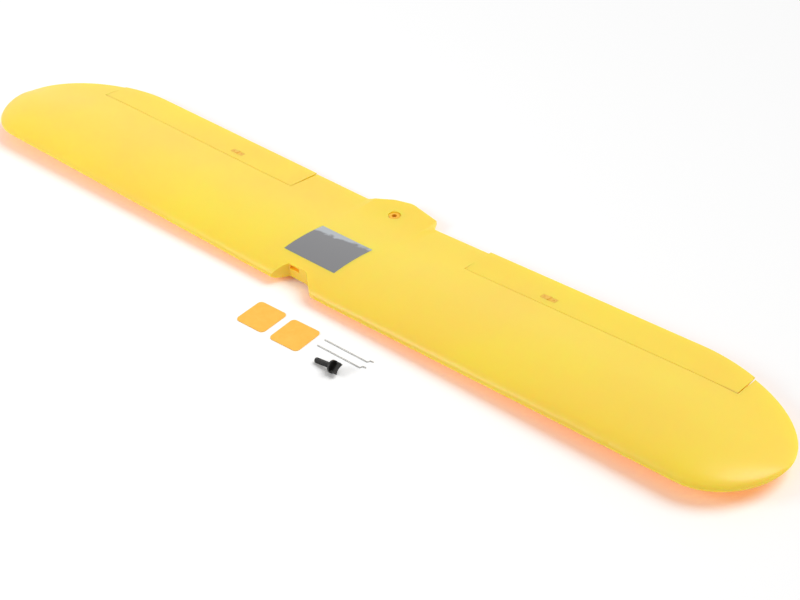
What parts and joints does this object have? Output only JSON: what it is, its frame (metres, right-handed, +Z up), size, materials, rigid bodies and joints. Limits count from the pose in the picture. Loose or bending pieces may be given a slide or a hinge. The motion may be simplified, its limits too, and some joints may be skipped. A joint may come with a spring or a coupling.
{
  "type": "model aeroplane wing",
  "caption": "One-piece foam wing of a high-wing model aeroplane with hinged ailerons, skylight film and bolt pad, its servo covers, pushrods and wing screw laid out in front.",
  "frame": {"origin": "under the middle of the centre section at half chord, on the flat face of the fuselage key the wing rests on", "axes": "+X along the span towards the right tip, +Y aft towards the trailing edge, +Z up through the cambered top"},
  "size_m": [1.1998, 0.2985, 0.0359],
  "materials": {
    "yellow_foam": "moulded bead foam, fine satin skin",
    "film": "clear grey film, glossy",
    "orange_plastic": "moulded, semi-gloss",
    "ply": "sanded birch ply",
    "cover_plastic": "vacuum-formed sheet, satin",
    "hinge_foam": "compressed foam",
    "white_plastic": "moulded nylon",
    "black_plastic": "moulded nylon, satin",
    "carbon": "pultruded carbon tube",
    "screw_steel": "zinc plated",
    "rod_steel": "drawn steel wire"
  },
  "bodies": {
    "wing": {"wing_core": "yellow_foam", "skylight_film": "film", "bolt_seat": "orange_plastic", "bolt_backplate": "ply", "spar_joiner": "black_plastic", "left_spar": "carbon", "left_hinge": "hinge_foam", "left_strut_mount": "white_plastic", "left_strut_screws": "screw_steel", "right_spar": "carbon", "right_hinge": "hinge_foam", "right_strut_mount": "white_plastic", "right_strut_screws": "screw_steel"},
    "right_aileron": {"right_aileron": "yellow_foam", "right_control_horn": "orange_plastic", "right_horn_clip": "orange_plastic"},
    "left_aileron": {"left_aileron": "yellow_foam", "left_control_horn": "orange_plastic", "left_horn_clip": "orange_plastic"},
    "servo_cover_1_loose": {"servo_cover_1": "cover_plastic"},
    "servo_cover_2_loose": {"servo_cover_2": "cover_plastic"},
    "pushrod_1_loose": {"pushrod_1": "rod_steel"},
    "pushrod_2_loose": {"pushrod_2": "rod_steel"},
    "wing_screw_loose": {"wing_screw": "black_plastic"}
  },
  "joints": [
    {"name": "right_aileron_hinge", "type": "hinge", "parent": "wing", "child": "right_aileron", "pos_m": [0.32367, 0.051, 0.01735], "axis": [0.9998, 0, 0.0204], "range_deg": [-23.5, 16.5], "stiffness_Nm_per_rad": 0.01},
    {"name": "left_aileron_hinge", "type": "hinge", "parent": "wing", "child": "left_aileron", "pos_m": [-0.32367, 0.051, 0.01735], "axis": [0.9998, 0, -0.0204], "range_deg": [-21.5, 18.5], "stiffness_Nm_per_rad": 0.01},
    {"name": "servo_cover_1_lift", "type": "slide", "parent": "wing", "child": "servo_cover_1_loose", "axis": [0, 0, 1], "range_m": [0, 0.04]},
    {"name": "servo_cover_2_lift", "type": "slide", "parent": "wing", "child": "servo_cover_2_loose", "axis": [0, 0, 1], "range_m": [0, 0.04]},
    {"name": "pushrod_1_lift", "type": "slide", "parent": "wing", "child": "pushrod_1_loose", "axis": [0, 0, 1], "range_m": [0, 0.04]},
    {"name": "pushrod_2_lift", "type": "slide", "parent": "wing", "child": "pushrod_2_loose", "axis": [0, 0, 1], "range_m": [0, 0.04]},
    {"name": "wing_screw_lift", "type": "slide", "parent": "wing", "child": "wing_screw_loose", "axis": [0, 0, 1], "range_m": [0, 0.04]}
  ]
}
